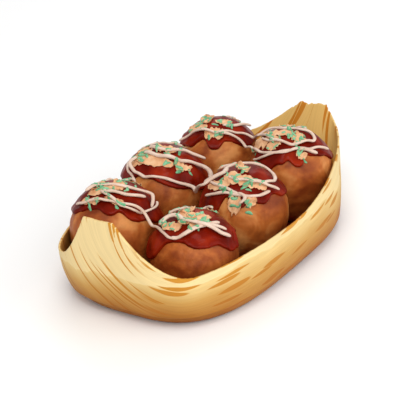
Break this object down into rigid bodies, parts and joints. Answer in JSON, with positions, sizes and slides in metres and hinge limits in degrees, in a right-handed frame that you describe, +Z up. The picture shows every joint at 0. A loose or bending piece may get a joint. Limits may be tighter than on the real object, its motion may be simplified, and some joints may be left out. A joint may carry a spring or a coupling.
{
  "type": "takoyaki balls",
  "caption": "Round browned takoyaki dumplings with brown sauce, mayonnaise and fish flakes, served in an open boat tray of thin wood veneer.",
  "frame": {"origin": "middle of the flat underside of the tray", "axes": "+X along the boat from its taller end tab to its lower one, +Y across it, +Z up"},
  "size_m": [0.186, 0.1017, 0.052],
  "materials": {
    "veneer": "satin",
    "dough": "satin",
    "sauce": "gloss",
    "mayonnaise": "satin",
    "bonito": "matte",
    "aonori": "matte"
  },
  "bodies": {
    "root": {"tray": "veneer", "ball_1": "dough", "ball_2": "dough", "ball_3": "dough", "ball_4": "dough", "ball_5": "dough", "ball_6": "dough"}
  },
  "joints": []
}
